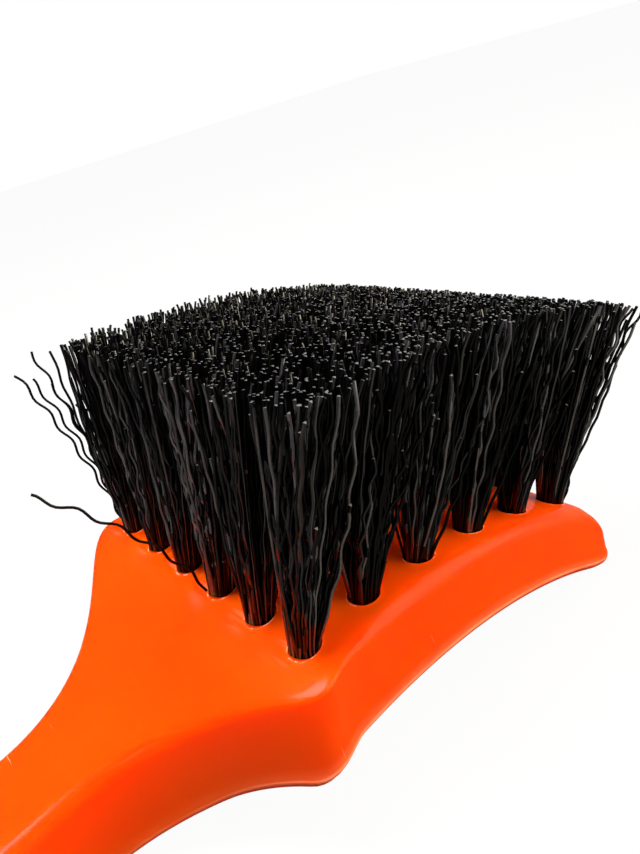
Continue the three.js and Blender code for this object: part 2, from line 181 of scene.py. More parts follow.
class BrushBristleSettings(PropertyGroup):
    """Sizes and colours of the filaments."""

    per_tuft: IntProperty(
        name="Filaments per Tuft", description="Filament ends standing out of each hole",
        default=125, min=8)
    diameter: length_setting("Filament Diameter", "Thickness of one filament", 0.45)
    trim_length: length_setting("Trim Length", "Bristle length in the middle of the head", 32)
    trim_radius: length_setting("Trim Radius", "Radius of the trimmed surface along the brush", 178)
    spread_across: length_setting(
        "Spread Across", "How much further apart the tips stand than the holes", 1)
    spread_along: length_setting("Spread Along", "The same along the brush", 0.4)
    toeward_lean: length_setting("Toeward Lean", "How far all tips lean over to the toe", 3.95)
    crimp_depth: length_setting("Crimp Depth", "Height of the crimp's wave to each side", 0.3)
    bend: length_setting("Bend", "How far the loosest filaments bow away from a straight line", 2.2)
    colour: colour_setting("Filament", "Colour of the filaments", (0.0013, 0.0012, 0.0014))
    cut_colour: colour_setting("Cut Ends", "Colour of the trimmed ends", (0.125, 0.13, 0.14))
    seed: IntProperty(name="Seed", description="Seed of all that is scattered", default=4)


class BrushStageSettings(PropertyGroup):
    """The camera, the lights and the floor."""

    target: FloatVectorProperty(
        name="Target", description="Point that the camera looks at, in the head's frame",
        subtype="TRANSLATION", unit="LENGTH", size=3,
        default=(36.29 * MM, -28.65 * MM, 28.74 * MM))
    distance: length_setting("Distance", "From the camera to its target", 67.37)
    azimuth: angle_setting("Azimuth", "Turn of the camera about the head", 53.16)
    elevation: angle_setting("Elevation", "Height of the camera over the head's plane", 19.49)
    roll: angle_setting("Roll", "Tilt of the picture", -6.41)
    lens: FloatProperty(
        name="Lens", description="Focal length in millimetres on a 36 mm sensor",
        default=FOCAL_PIXELS / PICTURE_HEIGHT * SENSOR_WIDTH)
    sky: FloatProperty(name="Sky", description="Strength of the even light", default=0.09)
    overhead: power_setting("Overhead", "lamp overhead", 7.6)
    fill: power_setting("Fill", "soft lamp on the right", 6.6)
    spark: power_setting("Spark", "small lamp for glints", 0.3)
    edge: power_setting("Edge", "small lamp behind the grip", 0.2)


# Shape of the moulded body, in metres in the head's frame

def clamp(value, low, high):
    return min(max(value, low), high)


def divide(lines, steps):
    """Even places from each line to the next, and the last line."""
    spans = zip(lines, lines[1:])
    return [low + (high - low) * k / steps for low, high in spans for k in range(steps)] + [lines[-1]]


def profile(stations):
    """A smooth curve through stations of place, value and slope."""
    places = [station[0] for station in stations]

    def value(y):
        following = clamp(int(np.searchsorted(places, y)), 1, len(stations) - 1)
        y0, v0, slope0 = stations[following - 1]
        y1, v1, slope1 = stations[following]
        span = y1 - y0
        t = clamp((y - y0) / span, 0, 1)
        rise = span * t * (1 - t) * (slope0 * (1 - t) - slope1 * t)
        return v0 + (v1 - v0) * t * t * (3 - 2 * t) + rise
    return value


def arc_fall(radius, y):
    return math.sqrt(radius * radius - y * y) - radius


def arc_slope(radius, y):
    return -y / math.sqrt(radius * radius - y * y)


class BodyShape:
    """Heights, widths and edge rounding of the moulding along its length."""

    back_shift = 2 * MM
    edge_blend = 16 * MM
    toe_blend = 9 * MM
    grip_slope = math.tan(REST_TILT)

    def __init__(self, settings):
        self.crown_radius = settings.crown_radius
        self.back_radius = settings.back_radius
        self.thickness = settings.head_thickness
        half = settings.head_half_width
        slope = self.grip_slope
        self.top_of_neck = profile([
            (BUTT_Y, rest_height(BUTT_Y) + 13 * MM, slope),
            (PALM_Y, rest_height(PALM_Y) + 17 * MM, slope),
            (GRIP_Y, rest_height(GRIP_Y) + 13.4 * MM, slope),
            (SHOULDER_Y, -12.9 * MM, 0.73),
            (HEEL_Y, self.crown(HEEL_Y), arc_slope(self.crown_radius, HEEL_Y)),
        ])
        self.top_of_toe = profile([
            (TOE_ROLL_Y, self.crown(TOE_ROLL_Y), arc_slope(self.crown_radius, TOE_ROLL_Y)),
            (TOE_Y, -14.9 * MM, -1.84),
        ])
        self.back_of_neck = profile([
            (BUTT_Y, rest_height(BUTT_Y) - REST_CUT, slope),
            (GRIP_Y, rest_height(GRIP_Y) - REST_CUT, slope),
            (SHOULDER_Y, -25.6 * MM, 0.955),
            (HEEL_Y, self.arch(EAR_Y) - 1.6 * MM, 0),
            (EAR_Y, self.arch(EAR_Y), self.arch_slope(EAR_Y)),
        ])
        self.back_of_toe = profile([
            (TOE_ROLL_Y, self.arch(TOE_ROLL_Y), self.arch_slope(TOE_ROLL_Y)),
            (LIP_Y, LIP_BOTTOM, 0),
            (TOE_Y, -15.75 * MM, 1),
        ])
        self.side = profile([
            (HANG_Y, BUTT_RADIUS, 0),
            (PALM_Y, 14.5 * MM, 0),
            (SHOULDER_Y - 18 * MM, 9.95 * MM, 0),
            (EAR_Y - 10 * MM, 21.7 * MM, 1.35),
            (EAR_Y, half + 1.2 * MM, 0),
            (EAR_Y + 5 * MM, half, 0),
            (TOE_Y - 9 * MM, half, 0),
            (TOE_Y, half - 0.75 * MM, -0.13),
        ])
        self.top_fillet = profile([
            (PALM_Y, 6.5 * MM, 0), (GRIP_START_Y, 2.4 * MM, 0),
            (EAR_Y, 0.85 * MM, 0), (EAR_Y + self.edge_blend, 3.1 * MM, 0),
            (TOE_Y - self.toe_blend, 3.1 * MM, 0), (TOE_Y, 1.5 * MM, 0),
        ])
        self.back_fillet = profile([(GRIP_Y, 6.5 * MM, 0), (GRIP_START_Y, 1.2 * MM, 0)])
        self.draft = profile([
            (PALM_Y, 0, 0), (GRIP_START_Y, 1.7 * MM, 0),
            (EAR_Y, 1 * MM, 0), (EAR_Y + self.edge_blend, 1.7 * MM, 0),
            (TOE_Y - self.toe_blend, 1.7 * MM, 0), (TOE_Y, 0.6 * MM, 0),
        ])

    def crown(self, y):
        return arc_fall(self.crown_radius, y)

    def arch(self, y):
        return arc_fall(self.back_radius, y - self.back_shift) - self.thickness

    def arch_slope(self, y):
        return arc_slope(self.back_radius, y - self.back_shift)

    @staticmethod
    def butt_round(y):
        """How far the butt's upper and lower edges are rounded back."""
        edge = 5 * MM
        reach = clamp(edge - (y - BUTT_Y), 0, edge)
        return edge - math.sqrt(edge * edge - reach * reach)

    def top(self, y):
        if y > TOE_ROLL_Y:
            return self.top_of_toe(y)
        return self.crown(y) if y > HEEL_Y else self.top_of_neck(y) - self.butt_round(y)

    def back(self, y):
        if y > TOE_ROLL_Y:
            return self.back_of_toe(y)
        return self.arch(y) if y > EAR_Y else self.back_of_neck(y) + self.butt_round(y)

    def half_width(self, y):
        butt = clamp(HANG_Y - y, 0, BUTT_RADIUS)
        corner = clamp(y - (TOE_Y - TOE_CORNER), 0, TOE_CORNER)
        return (self.side(y) - (BUTT_RADIUS - math.sqrt(BUTT_RADIUS ** 2 - butt ** 2))
                - (TOE_CORNER - math.sqrt(TOE_CORNER ** 2 - corner ** 2)))

    def section(self, y):
        """Half width, shoulder, top, back and the two fillets of one section."""
        half, top, back = self.half_width(y), self.top(y), self.back(y)
        most = min((top - back) * 0.48, half * 0.9)
        shoulder = half - min(self.draft(y), half * 0.1, top - back)
        return half, shoulder, top, back, min(self.top_fillet(y), most), min(self.back_fillet(y), most)

    def top_surface(self, x, y):
        """Height of the upper face, with its rounded edge, at a place seen from above."""
        _, shoulder, top, _, upper, _ = self.section(y)
        over = clamp(abs(x) - (shoulder - upper), 0, upper)
        return top - upper + math.sqrt(upper * upper - over * over)

    def back_surface(self, x, y):
        """Height of the under face at a place seen from above."""
        half, _, _, back, _, lower = self.section(y)
        over = clamp(abs(x) - (half - lower), 0, lower)
        return back + lower - math.sqrt(lower * lower - over * over)


def tuft_foot(shape_radius, column, row):
    """Place of a tuft's hole on the crowned face."""
    across, along = column - (COLUMNS - 1) / 2, row - (ROWS - 1) / 2
    y = shape_radius * math.sin(along * ROW_PITCH / shape_radius)
    return Vector((across * COLUMN_PITCH, y, arc_fall(shape_radius, y)))


class HandleMesh:
    """Builds the moulding as rings along its length, with the drilled holes worked into them."""

    cell_steps = 8
    fillet_steps = 7
    side_steps = 5
    back_steps = 24
    butt_steps = 22
    corner_steps = 14
    face_fillet_share = math.radians(34)
    end_turn = math.pi / 2 * 0.985

    # The parting line: lift in millimetres, share of the bead, how pale it is painted: rubbed plastic,
    # and painted light where the lower edge faces the floor. It needs some height of the side, takes
    # the start of the lower fillet and is painted less pale along the neck
    parting_rows = (
        (0.45, 0, 0.25), (0.3, 0.75, 1), (0.1, 1, 1), (-0.12, 0.6, 1), (-0.28, -0.45, 0.4))
    parting_height, parting_cover, rub_fade = 1.2 * MM, 0.12, 12 * MM

    # Around a tuft hole: growth in millimetres, share of the cell's edge, share of the burr, nearness
    hole_rings = (
        (0.0, 0.68, 0, 0.15), (0.0, 0.4, 0, 0.5), (0.3, 0, 0, 0.8),
        (0.16, 0, 0.4, 0.95), (0.07, 0, 1, 1), (0.0, 0, 0.6, 1))
    wall_nearness = 0.6

    # Into the hang hole: growth in millimetres, share of the block's edge, depth in millimetres
    hang_rings = (
        (1.3, 0.45, 0), (1.1, 0, 0), (0.65, 0, 0.12), (0.3, 0, 0.38), (0.08, 0, 0.8), (0, 0, 1.3))
    hang_reach = 6.8 * MM

    # Marks of the trimming beside the heel row: distance from a hole, width, direction, zone
    wipe_distance, wipe_width = 0.8 * MM, 2.6 * MM
    wipe_way = Vector((-0.8, -0.6))
    wipe_zone = 4 * MM

    def __init__(self, settings):
        self.settings = settings
        self.shape = BodyShape(settings)
        self.points, self.faces = [], []
        self.near_hole, self.smear, self.parting = {}, {}, {}

    def add_point(self, x, y, z):
        self.points.append((x, y, z))
        return len(self.points) - 1

    def band(self, first, second):
        """Quads between two loops of the same length."""
        count = len(first)
        for k in range(count):
            n = (k + 1) % count
            self.faces.append((first[k], first[n], second[n], second[k]))

    def stations(self):
        """Places of the rings: the butt, the grip, the neck, its flare, the field and the toe."""
        butt = [HANG_Y - BUTT_RADIUS * math.sin(self.end_turn * (1 - k / self.butt_steps))
                for k in range(self.butt_steps)]
        spans = ((HANG_Y, GRIP_Y, 50), (GRIP_Y, FLARE_Y, 28), (FLARE_Y, -FIELD_END_Y, 17))
        shaft = [y for low, high, count in spans for y in np.linspace(low, high, count)[:-1]]
        radius = self.settings.crown_radius
        between = [radius * math.sin((row - ROWS / 2) * ROW_PITCH / radius) for row in range(1, ROWS)]
        field = divide([-FIELD_END_Y, *between, FIELD_END_Y], self.cell_steps)
        start = TOE_Y - TOE_CORNER
        toe = divide([FIELD_END_Y, start], 3)[1:-1]
        corner = [start + TOE_CORNER * math.sin(self.end_turn * k / self.corner_steps)
                  for k in range(self.corner_steps + 1)]
        return butt + shaft + field + toe + corner

    def face_places(self, y):
        """Where the lines along the upper face lie, from the middle outwards."""
        def edge(at):
            _, shoulder, _, _, upper, _ = self.shape.section(at)
            return shoulder - upper + upper * math.sin(self.face_fillet_share)

        field_edge, own_edge = edge(clamp(y, -FIELD_END_Y, FIELD_END_Y)), edge(y)
        lines = [0.0, COLUMN_PITCH, 2 * COLUMN_PITCH, field_edge]
        return [x * own_edge / field_edge for x in divide(lines, self.cell_steps)]

    def half_ring(self, y):
        """Right half of a ring from the middle of the top to the middle of the back."""
        half, shoulder, top, back, upper, lower = self.shape.section(y)
        low_z, high_z, inner = back + lower, top - upper, half - lower
        outline = [(x, self.shape.top_surface(x, y), 0) for x in self.face_places(y)]
        first = self.face_fillet_share
        for k in range(1, self.fillet_steps + 1):
            angle = first + (math.pi / 2 - first) * k / self.fillet_steps
            outline.append(
                (shoulder - upper + upper * math.sin(angle), high_z + upper * math.cos(angle), 0))
        for k in range(1, self.side_steps):
            t = k / self.side_steps
            outline.append((shoulder + (half - shoulder) * t, high_z + (low_z - high_z) * t, 0))
        room = min(1, (high_z - low_z) / self.parting_height)
        bead = self.settings.parting_bead * room * clamp((TOE_Y - y) / TOE_CORNER - 0.5, 0, 1)
        # How pale the parting line is painted along the length: rubbed plastic and painted light, less
        # of both along the neck
        rub_and_painted_light_share = clamp((y - HEEL_Y) / self.rub_fade + 0.9, 0.3, 1)
        for lift, out, mark in self.parting_rows:
            outline.append((half + bead * out, low_z + lift * room * MM, mark * rub_and_painted_light_share))
        cover = self.parting_cover
        for k in range(1, self.fillet_steps + 1):
            angle = math.pi / 2 * (cover + (1 - cover) * k / self.fillet_steps)
            outline.append((inner + lower * math.cos(angle), low_z - lower * math.sin(angle), 0))
        for k in range(1, self.back_steps + 1):
            outline.append((inner * (1 - k / self.back_steps), back, 0))
        return outline

    def build(self):
        """All rings, holes and end caps, with their painted values."""
        stations = self.stations()
        rings = []
        for y in stations:
            right = self.half_ring(y)
            loop = []
            for x, z, mark in right + [(-x, z, mark) for x, z, mark in right[-2:0:-1]]:
                loop.append(self.add_point(x, y, z))
                self.parting[loop[-1]] = mark
            rings.append(loop)
            if HEEL_Y - self.wipe_zone < y < HEEL_Y + self.wipe_zone:
                across = len(self.face_places(y))
                self.wipe(loop[:across] + loop[1 - across:])
        skip = self.drill_field(stations, rings) | self.hang_hole(stations, rings)
        count = len(rings[0])
        for i, k in product(range(len(rings) - 1), range(count)):
            if (i, k) not in skip:
                n = (k + 1) % count
                self.faces.append((rings[i][k], rings[i + 1][k], rings[i + 1][n], rings[i][n]))
        for ring in (rings[0], rings[-1]):
            self.cap(ring)

    def cap(self, ring):
        """Closes an end by joining each point to its mirror image."""
        half = len(ring) // 2
        for k in range(half):
            left = (ring[-k - 1] if k + 1 < half else ring[half], ring[-k] if k else ring[0])
            self.faces.append(tuple(dict.fromkeys((ring[k], ring[k + 1], *left))))

    def loop_round(self, rings, rows, columns):
        """Points around a block of quads, and the quads inside it."""
        count = len(rings[0])
        (i0, i1), (k0, k1) = rows, columns

        def at(i, k):
            return rings[i][k % count]

        step = 1 if k1 > k0 else -1
        loop = [at(i0, k) for k in range(k0, k1, step)] + [at(i, k1) for i in range(i0, i1)]
        loop += [at(i1, k) for k in range(k1, k0, -step)] + [at(i, k0) for i in range(i1, i0, -1)]
        inside = {(i, k % count) for i in range(i0, i1) for k in range(min(k0, k1), max(k0, k1))}
        return loop, inside

    def ring_in(self, loop, centre, radius, share, height):
        """A loop between a circle about the centre (share 0) and the given loop (share 1)."""
        ring = []
        for index in loop:
            x, y, _ = self.points[index]
            away = Vector((x - centre[0], y - centre[1])).normalized() * radius
            px = centre[0] + away.x + (x - centre[0] - away.x) * share
            py = centre[1] + away.y + (y - centre[1] - away.y) * share
            ring.append(self.add_point(px, py, height(px, py)))
        return ring

    def wiped(self, index):
        """How much a place of the face lies where the trimming wiped it, beside the heel row."""
        x, y, _ = self.points[index]
        radius, most = self.settings.hole_diameter / 2, 0
        for column in range(COLUMNS):
            foot = tuft_foot(self.settings.crown_radius, column, 0)
            way = Vector((x - foot.x, y - foot.y))
            fade = 1 - abs(way.length - radius - self.wipe_distance) / self.wipe_width
            most = max(most, fade * max(way.normalized().dot(self.wipe_way), 0) ** 3)
        return most

    def wipe(self, loop):
        self.smear.update((index, self.wiped(index)) for index in loop)

    def drill_field(self, stations, rings):
        """Every tuft hole: the face around it, the burr on its rim, its wall and its floor."""
        settings, face = self.settings, self.shape.top_surface
        radius, burr = settings.hole_diameter / 2, settings.burr_height
        depths = (0.25 * MM, 2.5 * MM, settings.hole_depth)
        first = next(i for i, y in enumerate(stations) if abs(y + FIELD_END_Y) < 1e-9)
        taken = set()
        for row, column in product(range(ROWS), range(COLUMNS)):
            foot = tuft_foot(settings.crown_radius, column, row)
            i0 = first + row * self.cell_steps
            k0 = (column - COLUMNS // 2) * self.cell_steps
            loop, inside = self.loop_round(
                rings, (i0, i0 + self.cell_steps), (k0, k0 + self.cell_steps))
            taken |= inside
            outer = loop
            for wider, share, lift, mark in self.hole_rings:
                ring = self.ring_in(loop, foot, radius + wider * MM, share,
                                    lambda x, y, up=lift: face(x, y) + up * burr)
                self.near_hole.update(dict.fromkeys(ring, mark))
                self.wipe(ring)
                self.band(outer, ring)
                outer = ring
            for depth in depths:
                wall = self.ring_in(loop, foot, radius - 0.03 * MM, 0,
                                    lambda x, y, down=depth: foot.z - down)
                self.near_hole.update(dict.fromkeys(wall, self.wall_nearness))
                self.band(outer, wall)
                outer = wall
            centre = self.add_point(foot.x, foot.y, foot.z - settings.hole_depth)
            for k, index in enumerate(outer):
                self.faces.append((index, outer[(k + 1) % len(outer)], centre))
        return taken

    def hang_hole(self, stations, rings):
        """The hole near the butt, square to the grip, with rounded edges on both faces."""
        shape, radius = self.shape, self.settings.hang_diameter / 2
        rows = [i for i, y in enumerate(stations) if abs(y - HANG_Y) <= self.hang_reach]
        count = len(rings[0])
        half = count // 2
        xs = [self.points[index][0] for index in rings[rows[len(rows) // 2]]]
        span = min(max(k for k in range(count // 4) if abs(xs[start + turn * k]) <= self.hang_reach)
                   for start, turn in ((0, 1), (half, -1)))
        middle = (shape.top(HANG_Y) + shape.back(HANG_Y)) / 2
        loops, taken = [], set()
        for columns, face, turn in (((-span, span), shape.top_surface, -1),
                                    ((half + span, half - span), shape.back_surface, 1)):
            loop, inside = self.loop_round(rings, (rows[0], rows[-1]), columns)
            taken |= inside
            outer = loop
            for wider, share, sink in self.hang_rings:
                ring = self.ring_in(loop, (0, HANG_Y), radius + wider * MM, share, face)
                for index in ring:
                    x, y, z = self.points[index]
                    y -= (z - middle) * shape.grip_slope * (1 - share)
                    self.points[index] = (x, y, face(x, y) + turn * sink * MM)
                self.band(outer, ring)
                outer = ring
            loops.append(outer)
        self.band(*loops)
        return taken

    def to_mesh(self, name):
        """The finished mesh, tilted onto the floor and flattened where it rests."""
        self.build()
        used = sorted({index for face in self.faces for index in face})
        order = {index: k for k, index in enumerate(used)}
        points = [HEAD_MATRIX @ Vector(self.points[index]) for index in used]
        mesh = bpy.data.meshes.new(name)
        mesh.from_pydata([(p.x, p.y, max(p.z, 0)) for p in points], [],
                         [[order[index] for index in face] for face in self.faces])
        turned = bmesh.new()
        turned.from_mesh(mesh)
        bmesh.ops.recalc_face_normals(turned, faces=turned.faces)
        turned.to_mesh(mesh)
        turned.free()
        for attribute_name in ("near_hole", "smear", "parting"):
            values = getattr(self, attribute_name)
            layer = mesh.attributes.new(attribute_name, "FLOAT", "POINT")
            layer.data.foreach_set("value", [values.get(index, 0) for index in used])
        return mesh


# Node trees

class Wire:
    """An output of a node. Python's operators join it to wires and numbers by further nodes."""

    def __init__(self, builder, socket):
        self.builder, self.socket = builder, socket

    @property
    def is_vector(self):
        return self.socket.type == "VECTOR"

    def join(self, operation, other):
        if not self.is_vector:
            return self.builder.math(operation, self, other)
        scaled = operation == "MULTIPLY" and not getattr(other, "is_vector", False)
        return self.builder.vector("SCALE" if scaled else operation, self, other)

    __add__ = partialmethod(join, "ADD")
    __sub__ = partialmethod(join, "SUBTRACT")
    __mul__ = partialmethod(join, "MULTIPLY")
    __truediv__ = partialmethod(join, "DIVIDE")
    __mod__ = partialmethod(join, "MODULO")
    __pow__ = partialmethod(join, "POWER")
    __gt__ = partialmethod(join, "GREATER_THAN")
    __lt__ = partialmethod(join, "LESS_THAN")


class NodeBuilder:
    """Places, fills and links the nodes of one tree."""

    def __init__(self, tree):
        self.tree = tree
        self.placed = 0

    def node(self, kind, inputs=None, **options):
        """A new node with its options set and its inputs filled by name."""
        node = self.tree.nodes.new(kind)
        node.location = (220 * (self.placed // 5), -190 * (self.placed % 5))
        self.placed += 1
        for name, value in options.items():
            setattr(node, name, value)
        for name, value in (inputs or {}).items():
            self.put(next(s for s in node.inputs if s.enabled and s.name == name), value)
        return node

    def out(self, kind, inputs=None, output=0, **options):
        """One output of a new node."""
        return Wire(self, self.node(kind, inputs, **options).outputs[output])

    def geometry(self, kind, inputs=None, output=0, **options):
        return self.out("GeometryNode" + kind, inputs, output, **options)

    def wires(self, node):
        """The outputs of a node by name."""
        return {socket.name: Wire(self, socket) for socket in node.outputs if socket.enabled}

    def put(self, socket, value):
        """Links a wire to a socket, or sets the socket's value."""
        if isinstance(value, Wire):
            self.tree.links.new(value.socket, socket)
        else:
            socket.default_value = value

    def filled(self, node, places, values, output=0):
        """An output of a node whose inputs are filled by place."""
        for place, value in zip(places, values):
            self.put(node.inputs[place], value)
        return Wire(self, node.outputs[output])

    def math(self, operation, *values, clamped=False):
        node = self.node("ShaderNodeMath", operation=operation, use_clamp=clamped)
        return self.filled(node, range(3), values)

    def most(self, *values):
        """The greatest of the values."""
        return reduce(lambda one, other: self.math("MAXIMUM", one, other), values)

    def vector(self, operation, *values):
        node = self.node("ShaderNodeVectorMath", operation=operation)
        places = (0, 3) if operation == "SCALE" else range(3)
        number = operation in ("LENGTH", "DOT_PRODUCT")
        return self.filled(node, places, values, "Value" if number else "Vector")

    def combine(self, x, y, z):
        return self.out("ShaderNodeCombineXYZ", {"X": x, "Y": y, "Z": z})

    def split(self, vector):
        return self.wires(self.node("ShaderNodeSeparateXYZ", {"Vector": vector})).values()

    def random(self, low, high, seed):
        """An even random value for each element."""
        return self.wires(self.node("FunctionNodeRandomValue", {
            "Min": low, "Max": high, "Seed": seed}, data_type="FLOAT"))["Value"]

    def ramp(self, value, low, high):
        """0 below low, 1 above high and smooth in between."""
        return self.out("ShaderNodeMapRange", {"Value": value, "From Min": low, "From Max": high},
                        "Result", interpolation_type="SMOOTHSTEP")

    def blend(self, share, first, second):
        """A mix of two colours."""
        first, second = ((*c, 1) if isinstance(c, tuple) else c for c in (first, second))
        node = self.node("ShaderNodeMix", data_type="RGBA")
        return self.filled(node, (0, 6, 7), (share, first, second), 2)

    def mix(self, share, first, second):
        """A mix of two shaders."""
        return self.filled(self.node("ShaderNodeMixShader"), range(3), (share, first, second))


def add_sockets(tree, *sockets):
    """Named inputs of a tree: name, kind and default."""
    for name, kind, default in sockets:
        socket = tree.interface.new_socket(
            name, in_out="INPUT", socket_type="NodeSocket" + ("Float" if kind == "length" else kind))
        if kind == "length":
            socket.subtype = "DISTANCE"
        if default is not None:
            socket.default_value = default


def attribute(b, name, kind="FLOAT"):
    return b.geometry("InputNamedAttribute", {"Name": name}, "Attribute", data_type=kind)


def sweep(b, curves, radius, material):
    """Sweeps curves into three-sided filaments with flat, marked cut ends."""
    along = b.geometry("SplineParameter")
    keep = b.node("GeometryNodeCaptureAttribute")
    keep.capture_items.new("FLOAT", "Along")
    b.put(keep.inputs["Geometry"], b.geometry("SetCurveRadius", {
        "Curve": curves, "Radius": (along > 0.99) * TIP_SWELL + 1}))
    b.put(keep.inputs["Along"], along)
    kept = b.wires(keep)
    mesh = b.geometry("CurveToMesh", {
        "Curve": kept["Geometry"], "Fill Caps": True,
        "Profile Curve": b.geometry("CurvePrimitiveCircle", {"Resolution": 3, "Radius": radius})})
    up = list(b.split(b.geometry("InputNormal")))[2]
    cut = (up > 0.75) * (kept["Along"] > 0.9)
    marked = b.geometry("StoreNamedAttribute", {
        "Geometry": mesh, "Name": "cut_end", "Value": cut}, data_type="FLOAT", domain="FACE")
    smooth = b.geometry("SetShadeSmooth", {
        "Geometry": marked, "Shade Smooth": cut < 0.5}, domain="FACE")
    whole = b.geometry("RealizeInstances", {"Geometry": smooth})
    b.node("NodeGroupOutput", {
        "Geometry": b.geometry("SetMaterial", {"Geometry": whole, "Material": material})})


def bristle_tree():
    """Grows crimped filaments from the foot of each tuft, and crimps the guides of stray strands."""
    tree = bpy.data.node_groups.new("Crimped tufts", "GeometryNodeTree")
    tree.is_modifier = True
    tree.interface.new_socket("Geometry", in_out="OUTPUT", socket_type="NodeSocketGeometry")
    add_sockets(
        tree, ("Plan", "Geometry", None), ("Filaments", "Int", 125),
        ("Hole Radius", "length", 0.0022), ("Tip Rounding", "Float", 0.25),
        ("Trim Length", "length", 0.032), ("Trim Radius", "length", 0.178),
        ("Uneven Trim", "length", 0.0006), ("Short Strands", "length", 0.015),
        ("Crimp Depth", "length", 0.00025), ("Stray Wave", "length", 0.0061),
        ("Stray Depth", "length", 0.0004), ("Bend", "length", 0.0022),
        ("Radius", "length", 0.00023), ("Seed", "Int", 0), ("Material", "Material", None))
    b = NodeBuilder(tree)
    given = b.wires(b.node("NodeGroupInput"))
    plan = b.wires(b.node("GeometryNodeSeparateGeometry", {
        "Geometry": given["Plan"], "Selection": attribute(b, "guide") > 0.5}, domain="POINT"))
    strands = b.node("GeometryNodeJoinGeometry")
    for curves in (tuft_curves(b, plan["Inverted"], given), stray_curves(b, plan["Selection"], given)):
        b.put(strands.inputs[0], curves)
    sweep(b, Wire(b, strands.outputs[0]), given["Radius"] * TRIANGLE_FILL, given["Material"])
    return tree


def tuft_curves(b, feet, given):
    """Centre lines of all filaments, from inside their holes to the trimmed surface."""
    copies = b.wires(b.node("GeometryNodeDuplicateElements", {
        "Geometry": feet, "Amount": given["Filaments"]}, domain="POINT"))

    def scatter(low, high, offset):
        return b.random(low, high, given["Seed"] + offset)

    def even(step, offset):
        """Places that fill a square evenly, from -1 to 1."""
        return b.math("FRACT", copies["Duplicate Index"] * step + scatter(0, 0.06, offset)) * 2 - 1

    def plane(across, along):
        return b.combine(across, along, 0)

    def direction(offset):
        turn = scatter(0, 2 * math.pi, offset)
        return plane(b.math("COSINE", turn), b.math("SINE", turn))

    def rounded(one, other, amount):
        """The square's place drawn towards a disc."""
        return one * b.math("SQRT", other * other * (amount * -0.5) + 1)

    u, v = (even(step, offset) for offset, step in enumerate(EVEN_STEPS, 1))

    def disc(amount):
        return plane(rounded(u, v, amount), rounded(v, u, amount))

    tip_reach, flare, tip_centre = (
        attribute(b, name, "FLOAT_VECTOR") for name in ("tip_reach", "flare", "tip_centre"))
    start = b.geometry("InputPosition") + disc(1) * given["Hole Radius"]
    shift = plane(scatter(-TIP_JITTER, TIP_JITTER, 3), scatter(-TIP_JITTER, TIP_JITTER, 4))
    moved = disc(given["Tip Rounding"]) * tip_reach + (shift + flare * scatter(0, 1, 12) ** 6)
    across, along, _ = b.split(tip_centre + moved)
    radius = given["Trim Radius"]
    fall = b.math("SQRT", radius * radius - along * along) - radius
    short = scatter(0, 1, 5) ** 11 * given["Short Strands"]
    height = fall + given["Trim Length"] - (scatter(0, 1, 6) * given["Uneven Trim"] + short)
    captured = {
        "Start": start, "Tip": b.combine(across, along, height), "Side": direction(7),
        "Bow": direction(8) * (scatter(0, 1, 9) ** 3 * given["Bend"]),
        "Root": scatter(0.0035, 0.0065, 10), "Depth": given["Crimp Depth"] * scatter(0.2, 1.2, 11)}
    keep = b.node("GeometryNodeCaptureAttribute", domain="POINT")
    for name, value in captured.items():
        keep.capture_items.new("VECTOR" if value.is_vector else "FLOAT", name)
        b.put(keep.inputs[name], value)
    # A random value for each strand: its gloss, and whether it is painted grey as a highlight
    b.put(keep.inputs["Geometry"], b.geometry("StoreNamedAttribute", {
        "Geometry": copies["Geometry"], "Name": "tone", "Value": scatter(0, 1, 14)},
        data_type="FLOAT", domain="POINT"))
    kept = b.wires(keep)
    line = b.geometry("ResampleCurve", {
        "Curve": b.geometry("CurvePrimitiveLine"), "Count": SEGMENTS + 1}, mode="COUNT")
    placed = b.geometry("InstanceOnPoints", {"Points": kept["Geometry"], "Instance": line})

    # Points come in pairs around each crest, so that few of them draw a round wave
    index = b.geometry("SplineParameter", output="Index")
    quarter = index + (index % 2 * (-1 / 3) + 1 / 6)
    way = kept["Tip"] - kept["Start"]
    sunk = kept["Root"] / b.vector("LENGTH", way)
    share = quarter / SEGMENTS * (sunk + 1) - sunk
    free = b.most(share, 0)
    fan = free ** 1.15
    wave = b.math("SINE", quarter * (math.pi / 2) + math.pi / 4)
    crimp = wave * scatter(0.6, 1.4, 13) * kept["Depth"] * b.ramp(share, 0.02, 0.3)
    arch = free * b.math("SUBTRACT", 1, free) * 4
    bent = kept["Side"] * crimp + kept["Bow"] * arch
    return b.geometry("SetPosition", {
        "Geometry": b.geometry("RealizeInstances", {"Geometry": placed}),
        "Position": kept["Start"] + (way * b.combine(fan, fan, share) + bent)})


def stray_curves(b, guides, given):
    """Centre lines of the strands that stand away from their tufts, crimped about their guides."""
    length = b.geometry("SplineParameter", output="Length")
    angle = length / given["Stray Wave"] * (2 * math.pi) + attribute(b, "phase")
    rise = given["Stray Depth"] * b.ramp(length, 0.001, 0.008)
    lean = attribute(b, "lean", "FLOAT_VECTOR")
    side = b.vector("NORMALIZE", b.vector("CROSS_PRODUCT", b.geometry("InputTangent"), lean))
    return b.geometry("SetPosition", {
        "Geometry": b.geometry("MeshToCurve", {"Mesh": guides}),
        "Offset": side * (b.math("SINE", angle) * rise)})


